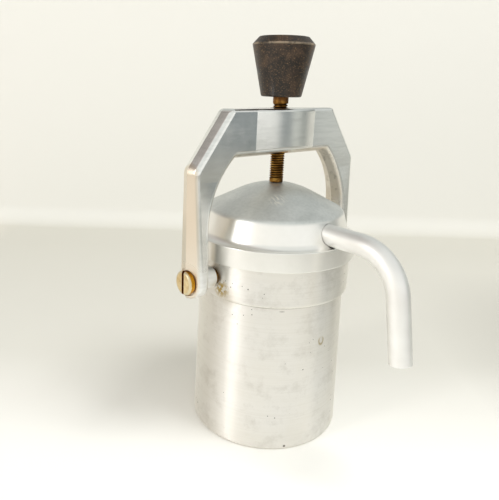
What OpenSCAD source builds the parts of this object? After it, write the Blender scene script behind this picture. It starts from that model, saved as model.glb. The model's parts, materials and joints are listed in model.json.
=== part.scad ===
// Stovetop espresso maker with a clamp yoke, in millimetres.
// The origin is the centre of the pot's base, +Z is up, the yoke swings about X and the spout points to -Y.

/* [Pot] */
// Radius of the pot at its base
base_r = 33.6; // [31:0.1:38]
// Radius of the pot just under its band
neck_r = 32; // [31:0.1:33.2]
// Height of the pot up to the band
body_h = 65.3; // [50:0.1:90]
// Radius of the thick band round the mouth
band_r = 33.8; // [33.6:0.1:35]
// Height of the band
band_h = 15.6; // [14:0.1:24]
// Wall of the pot below the band
pot_wall = 2.4; // [1.5:0.1:3]
// Thickness of the pot's floor
floor_t = 3; // [2:0.1:5]
// Rounding of the edge round the base
base_round = 1.2; // [0.5:0.1:2]
// Rounding of the band's lower edge
band_round = 1.6; // [0.4:0.1:1.8]

/* [Mouth and basket] */
// Outer radius of the rim that enters the lid
spigot_r = 32.2; // [31.8:0.1:32.6]
// Height of that rim above the band
spigot_h = 3.6; // [2.5:0.1:5]
// Radius of the throat through the band
throat_r = 28.4; // [26:0.1:28.8]
// Width of the seat for the basket's flange
seat_w = 2.2; // [1.5:0.1:2.6]
// Thickness of the basket's sheet
basket_t = 0.9; // [0.6:0.1:1.2]
// Depth of the basket from its flange to the lower sieve
basket_depth = 17; // [12:0.5:22]
// Height of the funnel under the basket
funnel_h = 9; // [6:0.5:14]
// Radius of the riser tube
riser_r = 4.5; // [3.5:0.1:6]
// Wall of the riser tube
riser_wall = 0.8; // [0.5:0.1:1.2]
// Space between the riser tube and the pot's floor
riser_gap = 4; // [2:0.5:10]
// Length of the collar that holds the riser tube
riser_collar_h = 7; // [4:0.5:12]
// Thickness of the sieves
sieve_t = 0.8; // [0.5:0.1:1.2]
// Radius of the holes in the sieves
sieve_hole_r = 0.7; // [0.4:0.05:1]
// Rings of holes in the sieves
sieve_rings = 4; // [2:1:5]
// Distance between the rings of holes
sieve_ring_step = 5; // [4:0.1:5]

/* [Lid] */
// Radius of the lid's flange
flange_r = 35.5; // [35.2:0.1:38]
// Height of the lid's flange
flange_h = 8.1; // [7.2:0.1:10]
// Gap between the flange and the pot's band
flange_gap = 0.3; // [0.1:0.1:0.8]
// Radius of the lid's side where it meets the flange
drum_r = 32.7; // [32:0.1:33]
// Radius of the lid's side at its shoulder
drum_top_r = 29.6; // [29.3:0.1:31]
// Radius of the hollow where the lid meets its flange
cove_r = 3; // [1:0.1:3.2]
// Rounding of the lid's shoulder
shoulder_r = 3.5; // [1:0.1:5]
// Radius of the dome's round top, about the yoke's pivots
dome_r = 36; // [34:0.1:40]
// Slope of the dome's straight part, in degrees
dome_slope = 27; // [22:0.1:28]
// Wall of the lid
lid_wall = 2.4; // [1.6:0.1:3]
// Thickness of the gasket
gasket_t = 2.2; // [1.5:0.1:2.6]
// Width of the gasket
gasket_w = 6; // [5:0.1:8]
// Width of the seat for the upper sieve
sieve_seat_w = 4; // [3:0.1:5]

/* [Spout] */
// Length of the spout tube inside the lid
spout_in = 2.5; // [2:0.1:6]
// Outer radius of the spout tube
spout_r = 4.3; // [3.5:0.1:4.6]
// Radius of the spout's bore
spout_bore_r = 3.3; // [2.5:0.1:3.4]
// Height of the spout's axis above the flange
spout_up = 4.6; // [4.6:0.1:6]
// Distance from the pot's axis to the start of the bend
bend_start = 46; // [42:0.5:60]
// Radius of the bend's centreline
bend_r = 18.5; // [12:0.5:26]
// Angle that the bend turns through, in degrees
bend_deg = 80; // [60:1:90]
// Height of the spout's end above the table
spout_end_z = 54; // [35:0.5:60]

/* [Yoke] */
// Height of the pivots above the band's lower edge
pivot_up = 9.1; // [7:0.1:10]
// Half the width between the legs
leg_in = 40.4; // [39:0.1:46]
// Thickness of the legs
leg_t = 5.6; // [4:0.1:8]
// Width of the legs at the shoulders
leg_w = 9; // [7:0.1:11]
// Radius of the round leg ends
leg_end_r = 6.9; // [6:0.1:8]
// Height of the crossbar's top above the pivots
bar_top_up = 67.1; // [62:0.1:75]
// Depth of the crossbar
bar_h = 17.5; // [12:0.1:19]
// Half the length of the crossbar's flat top
bar_half = 28.9; // [24:0.1:32]
// Height of the shoulder corners above the pivots
shoulder_up = 44.3; // [38:0.1:50]
// Half the length of the flat under the crossbar
window_half = 26.9; // [22:0.1:30]
// Width of the crossbar at the spindle
hub_w = 14; // [12:0.1:17]
// Half the length of the thick stretch of the crossbar
hub_half = 17; // [13:0.1:20]

/* [Pivots] */
// Radius of the pivot screws' plain shoulder
pivot_r = 2.5; // [2:0.1:3]
// Radius of the pivot screws' thread in the band
pivot_thread_r = 2; // [1.5:0.1:2]
// Depth of that thread
pivot_thread_h = 3.2; // [2:0.1:3.6]
// Radius of the screw heads
head_r = 5.2; // [4.5:0.1:6.2]
// Height of the screw heads
head_h = 2.9; // [1.5:0.1:3.4]
// Bevel round the screw heads
head_bevel = 0.6; // [0.3:0.1:0.9]
// Width of the screwdriver slot
slot_w = 1.3; // [0.8:0.1:1.6]
// Depth of the screwdriver slot
slot_h = 1; // [0.6:0.1:1.2]
// Radius of the bosses inside the legs
boss_r = 4.6; // [4.2:0.1:5.5]
// Bevel round the bosses
boss_bevel = 0.8; // [0.3:0.1:0.9]
// Outer radius of the pivot washers
washer_r = 3.5; // [3.3:0.1:4]
// Thickness of the pivot washers
washer_t = 1.3; // [0.6:0.1:2]
// Depth of the flats on the band under the washers
flat_h = 0.3; // [0.3:0.05:0.5]

/* [Spindle] */
// Outer radius of the spindle's thread
thread_r = 3; // [2.5:0.1:3.2]
// Pitch of the thread
thread_pitch = 1; // [0.8:0.05:1.25]
// Depth of the thread
thread_depth = 0.5; // [0.3:0.05:0.6]
// Radius of the plain collar under the knob
collar_r = 3.2; // [3.2:0.1:4]
// Height of the plain collar
collar_h = 2.7; // [1.5:0.1:4]
// Gap between the crossbar and the collar
collar_up = 1.8; // [0.6:0.1:5]
// Radius of the foot
foot_r = 2.9; // [2.4:0.1:3]
// Height of the foot
foot_h = 1.6; // [1:0.1:3]
// Radius of the foot's stem
stem_r = 1.2; // [0.8:0.1:1.4]
// Length of the foot's stem
stem_h = 5; // [3:0.5:8]
// Outer radius of the bush's body
bush_r = 4; // [3.9:0.1:4.5]
// Radius of the bush's lip
lip_r = 4.4; // [4.2:0.1:5]
// Thickness of the bush's lip
lip_h = 0.7; // [0.4:0.1:1.2]

/* [Knob] */
// Radius of the knob at the bottom
knob_bottom_r = 8.3; // [7.5:0.1:10]
// Radius of the knob at its rim
knob_r = 12.7; // [10:0.1:16]
// Height of the knob up to its rim
knob_rim_h = 20.4; // [16:0.1:28]
// Radius of the knob's flat top
knob_top_r = 10; // [8:0.1:12]
// Height of the bevel above the rim
knob_bevel_h = 2.9; // [1.5:0.1:4]
// Outer radius of the brass insert
insert_r = 4.2; // [4:0.1:5]
// Length of the brass insert
insert_h = 13; // [9:0.5:14]
// Radius of the stud that holds the knob
stud_r = 2.5; // [2:0.1:2.8]

/* [Fits] */
// Clearance where one piece turns or slides in another
run_fit = 0.05; // [0.03:0.01:0.08]
// Clearance where a piece is fixed in another
seat_fit = 0.02; // [0.01:0.01:0.05]
// Clearance where a piece drops in loosely
loose_fit = 0.25; // [0.15:0.05:0.3]
// Gap between the gasket and the rim
seal_gap = 0.05; // [0.03:0.01:0.1]
// Gap between the spindle's foot and the dome
foot_gap = 0.12; // [0.08:0.01:0.2]
// Gap beside the yoke's legs on their pivots
side_gap = 0.1; // [0.05:0.01:0.2]

/* [Hidden] */
$fn = 96;
// Extra length of a cutting tool past the face that it cuts
cut = 1;
// Sides of the spout tube, and steps round its bend
spout_sides = 32;
bend_steps = 12;
// Segments in an arc of a turned profile
arc_steps = 10;

// Heights, from the table up
band_top = body_h + band_h;
spigot_top = band_top + spigot_h;
pivot_z = body_h + pivot_up;
flange_z = band_top + flange_gap;
flange_top = flange_z + flange_h;
gasket_z = spigot_top + seal_gap;
upper_sieve_z = gasket_z + gasket_t + seat_fit;
lid_seat_z = upper_sieve_z + sieve_t + seat_fit;
spout_z = flange_top + spout_up;
apex_z = pivot_z + dome_r;
foot_z = apex_z + foot_gap;
spindle_z = foot_z + foot_h;
bar_top = pivot_z + bar_top_up;
window_z = bar_top - bar_h;
collar_z = bar_top + collar_up;
knob_z = collar_z + collar_h;

// Radii and widths
cavity_r = neck_r - pot_wall;
band_edge = min(band_round, 0.9 * (band_r - neck_r));
seat_r = throat_r + seat_w;
basket_r = throat_r - loose_fit;
cup_r = basket_r - basket_t;
recess_r = spigot_r + loose_fit;
disc_r = spigot_r;
gasket_in_r = disc_r - gasket_w;
chamber_r = disc_r - sieve_seat_w;
leg_out = leg_in + leg_t;
band_flat = band_r - flat_h;
boss_end = band_flat + washer_t + side_gap;
leg_face = leg_out + side_gap;
groove_r = thread_r - thread_depth;

// Basket heights
basket_seat_z = spigot_top - basket_t;
sieve_z = spigot_top - basket_depth;
ledge_w = 1.2;
funnel_bottom = sieve_z - funnel_h;
riser_top = funnel_bottom;
riser_bottom = floor_t + riser_gap;

// Points on an arc round c, from angle a to angle b
function arc(c, r, a, b, steps = arc_steps) = [
    for (i = [0 : steps])
        let (t = a + (b - a) * i / steps) [c[0] + r * cos(t), c[1] + r * sin(t)]
];

// The same at the left and right pivots: the outward direction is +Z of the child
module at_pivot(side) {
    translate([0, 0, pivot_z]) rotate([0, 90 * side, 0]) children();
}

// Pot

module boiler_pot() {
    color("gainsboro") difference() {
        rotate_extrude() polygon(concat(
            [[0, 0]],
            arc([base_r - base_round, base_round], base_round, -90, 0),
            [[neck_r, body_h]],
            arc([band_r - band_edge, body_h + band_edge], band_edge, -90, 0),
            [
                [band_r, band_top],
                [spigot_r, band_top],
                [spigot_r, spigot_top],
                [0, spigot_top]
            ]
        ));
        rotate_extrude() polygon([
            [0, floor_t],
            [cavity_r - pot_wall, floor_t],
            [cavity_r, floor_t + pot_wall],
            [cavity_r, body_h - 2 * pot_wall],
            [throat_r, body_h],
            [throat_r, basket_seat_z],
            [seat_r, basket_seat_z],
            [seat_r, spigot_top + cut],
            [0, spigot_top + cut]
        ]);
        for (side = [-1, 1]) at_pivot(side) {
            translate([0, 0, band_flat]) cylinder(r = washer_r + loose_fit, h = flat_h + cut);
            translate([0, 0, band_flat - pivot_thread_h - loose_fit])
                cylinder(r = pivot_thread_r + seat_fit, h = pivot_thread_h + loose_fit + cut);
        }
    }
}

module filter_basket() {
    collar_r_out = riser_r + seat_fit + basket_t;
    ledge_r = cup_r - ledge_w;
    color("silver") rotate_extrude() polygon([
        [cup_r, spigot_top],
        [seat_r - loose_fit, spigot_top],
        [seat_r - loose_fit, basket_seat_z],
        [basket_r, basket_seat_z],
        [basket_r, sieve_z],
        [collar_r_out, funnel_bottom],
        [collar_r_out, funnel_bottom - riser_collar_h],
        [riser_r + seat_fit, funnel_bottom - riser_collar_h],
        [riser_r + seat_fit, riser_top],
        [riser_r - riser_wall, riser_top],
        [riser_r - riser_wall, funnel_bottom + basket_t],
        [ledge_r, sieve_z],
        [cup_r, sieve_z],
        [cup_r, spigot_top]
    ]);
}

// A perforated disc: one hole in the middle and rings of holes round it
module sieve(r) {
    difference() {
        cylinder(r = r, h = sieve_t);
        translate([0, 0, -cut]) cylinder(r = sieve_hole_r, h = sieve_t + 2 * cut);
        for (ring = [1 : sieve_rings], i = [0 : 6 * ring - 1])
            rotate([0, 0, 60 * i / ring])
                translate([ring * sieve_ring_step, 0, -cut])
                    cylinder(r = sieve_hole_r, h = sieve_t + 2 * cut);
    }
}

module lower_sieve() {
    color("lightgray") translate([0, 0, sieve_z + seat_fit]) sieve(cup_r - seat_fit);
}

module riser_tube() {
    color("silver") translate([0, 0, riser_bottom]) difference() {
        cylinder(r = riser_r, h = riser_top - seat_fit - riser_bottom);
        translate([0, 0, -cut])
            cylinder(r = riser_r - riser_wall, h = riser_top - riser_bottom + 2 * cut);
    }
}

// Pivots

module pivot_screw(side) {
    head_z = leg_face;
    color("darkgoldenrod") at_pivot(side) difference() {
        rotate_extrude() polygon([
            [0, band_flat - pivot_thread_h],
            [pivot_thread_r, band_flat - pivot_thread_h],
            [pivot_thread_r, band_flat + seat_fit],
            [pivot_r, band_flat + seat_fit],
            [pivot_r, head_z],
            [head_r, head_z],
            [head_r, head_z + head_h - head_bevel],
            [head_r - head_bevel, head_z + head_h],
            [0, head_z + head_h]
        ]);
        translate([-head_r - cut, -slot_w / 2, head_z + head_h - slot_h])
            cube([2 * (head_r + cut), slot_w, slot_h + cut]);
    }
}

module pivot_washer(side) {
    color("peru") at_pivot(side) translate([0, 0, band_flat + seat_fit]) difference() {
        cylinder(r = washer_r, h = washer_t - seat_fit);
        translate([0, 0, -cut]) cylinder(r = pivot_r + seat_fit, h = washer_t + 2 * cut);
    }
}

module pivot_screw_left() { pivot_screw(-1); }
module pivot_screw_right() { pivot_screw(1); }
module pivot_washer_left() { pivot_washer(-1); }
module pivot_washer_right() { pivot_washer(1); }

// Lid

// A round top, a straight slope, a rounded shoulder, a leaning side and a hollow down to the flange
module lid_dome() {
    slope_out = [sin(dome_slope), cos(dome_slope)];
    slope_end = [0, pivot_z] + dome_r * slope_out;
    shoulder = [drum_top_r, slope_end[1] - tan(dome_slope) * (drum_top_r - slope_end[0])];
    lean = atan2(drum_r - drum_top_r, shoulder[1] - flange_top);
    side_out = [cos(lean), sin(lean)];
    shoulder_c = shoulder - shoulder_r * (slope_out + side_out) / (1 + slope_out * side_out);
    cove_c = [drum_r, flange_top] + cove_r * (side_out + [0, 1]) / (1 + side_out[1]);
    inner_r = dome_r - lid_wall;
    chamber_top = pivot_z + (inner_r - chamber_r * sin(dome_slope)) / cos(dome_slope);
    color("silver") difference() {
        rotate_extrude() polygon(concat(
            arc([0, pivot_z], dome_r, 90, 90 - dome_slope),
            arc(shoulder_c, shoulder_r, 90 - dome_slope, lean),
            arc(cove_c, cove_r, 180 + lean, 270),
            [[flange_r, flange_top], [flange_r, flange_z], [0, flange_z]]
        ));
        rotate_extrude() polygon(concat(
            arc([0, pivot_z], inner_r, 90, 90 - dome_slope),
            [[chamber_r, chamber_top], [chamber_r, lid_seat_z - cut], [0, lid_seat_z - cut]]
        ));
        translate([0, 0, flange_z - cut]) cylinder(r = recess_r, h = lid_seat_z - flange_z + cut);
        translate([0, seat_fit - spout_root, spout_z]) rotate([90, 0, 0])
            cylinder(r = spout_r + seat_fit, h = flange_r - spout_root + cut);
    }
}

// Places of the spout's rings: distance from the axis, height, and the angle turned so far
spout_root = chamber_r - spout_in;
bend_z = spout_z - bend_r;
end_drop = bend_z + bend_r * cos(bend_deg) - spout_end_z;
spout_rings = concat(
    [[spout_root, spout_z, 0]],
    [
        for (i = [0 : bend_steps])
            let (t = bend_deg * i / bend_steps)
            [bend_start + bend_r * sin(t), bend_z + bend_r * cos(t), t]
    ],
    [[
        bend_start + bend_r * sin(bend_deg) + end_drop / tan(bend_deg),
        spout_end_z,
        bend_deg
    ]]
);

// One ring of points of radius r round the spout's centreline
function spout_ring(place, r) = [
    for (i = [0 : spout_sides - 1])
        let (t = 360 * i / spout_sides)
        [r * sin(t), -place[0] - r * cos(t) * sin(place[2]), place[1] + r * cos(t) * cos(place[2])]
];

// The bent tube: rings outside, then rings inside, and the two end faces
module spout_tube() {
    count = len(spout_rings);
    sides = spout_sides;
    points = concat(
        [for (place = spout_rings) each spout_ring(place, spout_r)],
        [for (place = spout_rings) each spout_ring(place, spout_bore_r)]
    );
    bore = count * sides;
    last = (count - 1) * sides;
    steps = [for (k = [0 : count - 2], i = [0 : sides - 1]) [k * sides + i, k * sides + (i + 1) % sides]];
    sides_out = [for (q = steps) each [[q[0], q[1], q[1] + sides], [q[0], q[1] + sides, q[0] + sides]]];
    sides_in = [for (f = sides_out) [f[2] + bore, f[1] + bore, f[0] + bore]];
    ends = [
        for (i = [0 : sides - 1])
            let (j = (i + 1) % sides)
            each [
                [i, i + bore, j + bore], [i, j + bore, j],
                [last + i, last + j, last + j + bore], [last + i, last + j + bore, last + i + bore]
            ]
    ];
    color("gainsboro") polyhedron(points, concat(sides_out, sides_in, ends), convexity = 4);
}

module upper_sieve() {
    color("lightgray") translate([0, 0, upper_sieve_z]) sieve(disc_r);
}

module lid_gasket() {
    color("dimgray") translate([0, 0, gasket_z]) difference() {
        cylinder(r = disc_r, h = gasket_t);
        translate([0, 0, -cut]) cylinder(r = gasket_in_r, h = gasket_t + 2 * cut);
    }
}

// Yoke

// Front outline of the yoke, with the pivots at the height 0
module yoke_front() {
    window_up = bar_top_up - bar_h;
    window_deg = acos(window_half / leg_in);
    window_c = [0, window_up - leg_in * sin(window_deg)];
    polygon(concat(
        [
            [leg_in, -leg_end_r], [leg_out, -leg_end_r], [leg_out, shoulder_up],
            [bar_half, bar_top_up], [-bar_half, bar_top_up],
            [-leg_out, shoulder_up], [-leg_out, -leg_end_r], [-leg_in, -leg_end_r]
        ],
        arc(window_c, leg_in, 180, 180 - window_deg),
        arc(window_c, leg_in, window_deg, 0)
    ));
}

// Side outline of the yoke: tapered legs with round ends
module yoke_side() {
    lean = asin((leg_end_r - leg_w / 2) / shoulder_up);
    polygon(concat(
        [[leg_w / 2, shoulder_up], [leg_w / 2, bar_top_up], [-leg_w / 2, bar_top_up], [-leg_w / 2, shoulder_up]],
        arc([0, 0], leg_end_r, 180 - lean, 360 + lean, 2 * arc_steps)
    ));
}

// The thick stretch of the crossbar, seen from above: two arcs
module hub_plan() {
    rise = (hub_w - leg_w) / 2;
    hub_arc_r = (hub_half * hub_half + rise * rise) / (2 * rise);
    intersection_for (side = [-1, 1])
        translate([0, side * (hub_w / 2 - hub_arc_r)]) circle(r = hub_arc_r);
}

module yoke() {
    color("silver") difference() {
        union() {
            translate([0, 0, pivot_z]) intersection() {
                rotate([90, 0, 0]) linear_extrude(hub_w + 2 * leg_end_r, center = true) yoke_front();
                union() {
                    rotate([90, 0, 90]) linear_extrude(2 * leg_out + cut, center = true) yoke_side();
                    translate([0, 0, bar_top_up - bar_h]) linear_extrude(bar_h) hub_plan();
                }
            }
            for (side = [-1, 1]) at_pivot(side) rotate_extrude() polygon([
                [0, boss_end],
                [boss_r - boss_bevel, boss_end],
                [boss_r, boss_end + boss_bevel],
                [boss_r, leg_in + leg_t / 2],
                [0, leg_in + leg_t / 2]
            ]);
        }
        for (side = [-1, 1]) at_pivot(side) translate([0, 0, boss_end - cut])
            cylinder(r = pivot_r + run_fit, h = leg_out - boss_end + 2 * cut);
        translate([0, 0, window_z - cut]) cylinder(r = bush_r + seat_fit, h = bar_h + 2 * cut);
    }
}

module yoke_bush() {
    color("peru") translate([0, 0, window_z]) difference() {
        union() {
            cylinder(r = bush_r, h = bar_h);
            translate([0, 0, -lip_h]) cylinder(r = lip_r, h = lip_h - seat_fit);
            translate([0, 0, -lip_h]) cylinder(r = bush_r, h = lip_h);
        }
        translate([0, 0, -lip_h - cut]) cylinder(r = thread_r + run_fit, h = bar_h + lip_h + 2 * cut);
    }
}

// Spindle and knob

module spindle_foot() {
    color("darkgoldenrod") translate([0, 0, foot_z]) {
        cylinder(r = foot_r, h = foot_h - run_fit);
        cylinder(r = stem_r, h = foot_h + stem_h);
    }
}

module clamp_spindle() {
    turns = floor((collar_z - spindle_z) / thread_pitch) - 1;
    color("peru") difference() {
        rotate_extrude() polygon(concat(
            [[0, spindle_z], [groove_r, spindle_z]],
            [
                for (i = [0 : turns - 1], p = [[groove_r, 0.25], [thread_r, 0.5], [thread_r, 0.75], [groove_r, 1]])
                    [p[0], spindle_z + (i + p[1]) * thread_pitch]
            ],
            [
                [groove_r, collar_z],
                [collar_r, collar_z],
                [collar_r, knob_z - seat_fit],
                [stud_r, knob_z - seat_fit],
                [stud_r, knob_z + insert_h],
                [0, knob_z + insert_h]
            ]
        ));
        translate([0, 0, spindle_z - cut]) cylinder(r = stem_r + run_fit, h = stem_h + run_fit + cut);
    }
}

module knob_insert() {
    color("goldenrod") translate([0, 0, knob_z]) difference() {
        cylinder(r = insert_r, h = insert_h);
        translate([0, 0, -cut]) cylinder(r = stud_r + seat_fit, h = insert_h + 2 * cut);
    }
}

module knob() {
    color([0.2, 0.13, 0.1]) translate([0, 0, knob_z]) difference() {
        rotate_extrude() polygon([
            [0, 0], [knob_bottom_r, 0], [knob_r, knob_rim_h],
            [knob_top_r, knob_rim_h + knob_bevel_h], [0, knob_rim_h + knob_bevel_h]
        ]);
        translate([0, 0, -cut]) cylinder(r = insert_r + seat_fit, h = insert_h + seat_fit + cut);
    }
}

boiler_pot();
filter_basket();
lower_sieve();
riser_tube();
pivot_screw_left();
pivot_screw_right();
pivot_washer_left();
pivot_washer_right();
lid_dome();
spout_tube();
upper_sieve();
lid_gasket();
yoke();
yoke_bush();
spindle_foot();
clamp_spindle();
knob_insert();
knob();
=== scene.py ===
# Stovetop espresso maker with a clamp yoke: the looks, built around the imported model.
# Blender works in metres here, and the dictionaries give sizes in millimetres.
import json
import math

import bpy
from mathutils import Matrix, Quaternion, Vector


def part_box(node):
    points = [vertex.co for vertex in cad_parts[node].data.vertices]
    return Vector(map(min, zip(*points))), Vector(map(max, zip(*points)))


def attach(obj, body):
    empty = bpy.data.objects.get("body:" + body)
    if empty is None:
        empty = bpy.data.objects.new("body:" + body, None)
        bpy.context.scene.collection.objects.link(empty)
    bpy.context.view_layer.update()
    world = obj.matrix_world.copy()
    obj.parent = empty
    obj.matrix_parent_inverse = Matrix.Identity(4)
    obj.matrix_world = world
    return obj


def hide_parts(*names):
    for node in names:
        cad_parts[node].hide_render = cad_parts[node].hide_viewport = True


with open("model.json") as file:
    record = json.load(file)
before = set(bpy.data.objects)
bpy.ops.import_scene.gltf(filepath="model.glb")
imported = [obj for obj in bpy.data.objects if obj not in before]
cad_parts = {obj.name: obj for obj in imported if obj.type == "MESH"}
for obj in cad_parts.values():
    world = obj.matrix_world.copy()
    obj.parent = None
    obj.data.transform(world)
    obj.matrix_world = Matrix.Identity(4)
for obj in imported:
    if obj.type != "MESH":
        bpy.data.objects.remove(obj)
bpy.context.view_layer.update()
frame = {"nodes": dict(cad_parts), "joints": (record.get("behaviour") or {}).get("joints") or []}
mm = 0.001
weld = 0.001 * mm  # points closer than this become one
scene = bpy.context.scene
scene.view_settings.view_transform = "Standard"
joints = {joint["name"]: joint for joint in frame["joints"]}
pivotZ = joints["yoke_swing"]["pos_m"][2] / mm
print("frame loaded:", len(frame["nodes"]), "nodes")


def boxOf(nodeName):  # lowest and highest corner of a node, in millimetres
    low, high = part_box(nodeName)
    return low / mm, high / mm


# modelling tools

def useOnly(piece):
    bpy.ops.object.select_all(action="DESELECT")
    piece.select_set(True)
    bpy.context.view_layer.objects.active = piece


def arcPoints(centre, radius, start, end, steps):  # (x, y) along an arc, angles in degrees
    points = []
    for k in range(steps + 1):
        angle = math.radians(start + (end - start) * k / steps)
        points.append((centre[0] + radius * math.cos(angle), centre[1] + radius * math.sin(angle)))
    return points


def roundCorners(corners, steps=5):  # a corner is (x, y) or (x, y, rounding); the rounding becomes an arc
    points = []
    for i, corner in enumerate(corners):
        here = Vector(corner[:2])
        if len(corner) == 2:
            points.append(here)
            continue
        back = (Vector(corners[i - 1][:2]) - here).normalized()
        ahead = (Vector(corners[i + 1][:2]) - here).normalized()
        half = back.angle(ahead) / 2
        middle = here + (back + ahead).normalized() * (corner[2] / math.sin(half))
        start = here + back * (corner[2] / math.tan(half)) - middle
        end = here + ahead * (corner[2] / math.tan(half)) - middle
        for k in range(steps + 1):
            points.append(middle + start.lerp(end, k / steps).normalized() * corner[2])
    return points


def drawOutline(name, points):  # one vertex, extruded from point to point; stays in edit mode
    bpy.ops.object.select_all(action="DESELECT")
    bpy.ops.mesh.primitive_plane_add(size=mm)
    piece = bpy.context.object
    piece.name = name
    piece.data.name = name
    bpy.ops.object.mode_set(mode="EDIT")
    bpy.ops.mesh.select_all(action="SELECT")
    bpy.ops.mesh.merge(type="CENTER")
    places = [Vector(point) * mm for point in points]
    bpy.ops.transform.translate(value=places[0])
    for here, there in zip(places, places[1:]):
        bpy.ops.mesh.extrude_vertices_move(TRANSFORM_OT_translate={"value": there - here})
    return piece


def closeUp():  # merges seams and poles, turns the faces outwards and leaves edit mode
    bpy.ops.mesh.select_all(action="SELECT")
    bpy.ops.mesh.remove_doubles(threshold=weld)
    bpy.ops.mesh.normals_make_consistent(inside=False)
    bpy.ops.object.mode_set(mode="OBJECT")


# a lathe: the corners are (radius, distance along the axis)
def turnPiece(name, corners, steps, along="Z", side=1):
    points = roundCorners(corners)
    if along == "Z":
        places = [(r, 0, h) for r, h in points]
        axis, centre = (0, 0, 1), (0, 0, 0)
    else:
        places = [(side * h, 0, pivotZ + r) for r, h in points]
        axis, centre = (1, 0, 0), (0, 0, pivotZ * mm)
    piece = drawOutline(name, places)
    bpy.ops.mesh.select_all(action="SELECT")
    bpy.ops.mesh.spin(steps=steps, angle=2 * math.pi, center=centre, axis=axis)
    closeUp()
    return piece


def pushOut(name, outline, move):  # a flat outline, filled and extruded by the move
    piece = drawOutline(name, outline)
    bpy.ops.mesh.select_all(action="SELECT")
    bpy.ops.mesh.edge_face_add()
    bpy.ops.mesh.extrude_region_move(TRANSFORM_OT_translate={"value": Vector(move) * mm})
    closeUp()
    return piece


def applyModifier(piece, kind, **settings):
    useOnly(piece)
    bpy.ops.object.modifier_add(type=kind)
    change = piece.modifiers[-1]
    for key, value in settings.items():
        setattr(change, key, value)
    bpy.ops.object.modifier_apply(modifier=change.name)


def carve(piece, tool, operation="DIFFERENCE"):  # boolean with a tool that is then thrown away
    applyModifier(piece, "BOOLEAN", operation=operation, solver="EXACT", object=tool)
    bpy.data.objects.remove(tool)


def drill(piece, radius, start, end, steps, along="Z", side=1):  # cuts a round hole
    corners = [(0, start), (radius, start), (radius, end), (0, end)]
    carve(piece, turnPiece("drill", corners, steps, along, side))


# a rounded edge wherever two faces meet sharper than the angle
def softenEdges(piece, width, segments, angle):
    applyModifier(piece, "BEVEL", width=width * mm, segments=segments, limit_method="ANGLE",
                  angle_limit=math.radians(angle), use_clamp_overlap=False)


def smoothOff(piece, angle=35):  # smooth shading with large faces kept flat
    useOnly(piece)
    bpy.ops.object.shade_smooth_by_angle(angle=math.radians(angle))
    applyModifier(piece, "WEIGHTED_NORMAL", keep_sharp=True)


def handOver(piece, nodeName, body, material):  # stands for its node and moves with the body
    piece.data.materials.clear()
    piece.data.materials.append(material)
    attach(piece, body)
    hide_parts(nodeName)
    print(piece.name, "made:", len(piece.data.polygons), "faces")


# material tools

def hexColour(code):  # sRGB hex to linear
    channels = [int(code[k:k + 2], 16) / 255 for k in (0, 2, 4)]
    linear = [c / 12.92 if c <= 0.04045 else ((c + 0.055) / 1.055) ** 2.4 for c in channels]
    return (*linear, 1.0)


def addNode(tree, kind, settings=None, links=None):  # a linked node gives its first live output
    made = tree.nodes.new("ShaderNode" + kind)
    for key, value in (settings or {}).items():
        if key == "stops":  # a ramp's positions and colours
            stops = made.color_ramp.elements
            for k, (position, code) in enumerate(value):
                stop = stops[k] if k < 2 else stops.new(position)
                stop.position, stop.color = position, hexColour(code)
        elif isinstance(key, int) or key in made.inputs:
            made.inputs[key].default_value = hexColour(value) if isinstance(value, str) else value
        else:
            setattr(made, key, value)
    for key, source in (links or {}).items():
        if isinstance(source, bpy.types.Node):
            source = next(output for output in source.outputs if output.enabled)
        tree.links.new(source, made.inputs[key])
    return made


def newMaterial(name):
    material = bpy.data.materials.new(name)
    material.use_nodes = True
    tree = material.node_tree
    tree.nodes.clear()
    place = addNode(tree, "TexCoord").outputs["Object"]
    return material, tree, place


def fromTo(ends, base=0):  # a range between two distances from the base, in millimetres
    return {"From Min": (base + ends[0]) * mm, "From Max": (base + ends[1]) * mm}


# the strength near a spot, 0 at the far distance, in millimetres; squash flattens the spot
def nearSpot(tree, place, spot, near, far, squash=1, strength=1):
    flat = addNode(tree, "VectorMath", {"operation": "MULTIPLY", 1: (1, 1, squash)}, {0: place})
    middle = Vector((spot[0], spot[1], spot[2] * squash)) * mm
    away = addNode(tree, "VectorMath", {"operation": "DISTANCE", 1: middle}, {0: flat})
    return addNode(tree, "MapRange", {**fromTo((far, near)), "To Max": strength}, {"Value": away})


def finishMaterial(tree, settings, links):
    shader = addNode(tree, "BsdfPrincipled", settings, links)
    addNode(tree, "OutputMaterial", links={"Surface": shader})


# Turned aluminium: pale warm satin; rings from the lathe draw each highlight out upwards; dark pits,
# a dried drop, a scratch, a painted shadow line under the band, a yellow crust with a stain by the left
# pivot
potMarks = {  # place, full strength within, gone beyond, flattening, strength
    "pitted": ((-22.9, -24.4, 74.6), 6, 9),
    "dent": ((-15.9, -29.6, 1.7), 0.3, 0.7),
    "dropOut": ((-0.9, -32.4, 48.6), 1.3, 1.8, 0.7),
    "dropIn": ((-0.9, -32.4, 48.6), 0.7, 1.2, 0.7),
    "scratch": ((-18.8, -25.9, 63.8), 0.6, 1.5, 5, 0.6),
    "stain": ((-32.6, -8.0, 67.4), 0.5, 6.5, 1, 0.4),
    "crust": ((-33.4, -5.2, 70.2), 1.5, 4.5),
}
# where the dried drop fades, and the height and half width of the painted shadow line under the band
potFades = {"drop": (50.4, 48.8), "bandShadowZ": 65.2, "bandShadowHalf": 0.3}


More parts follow.
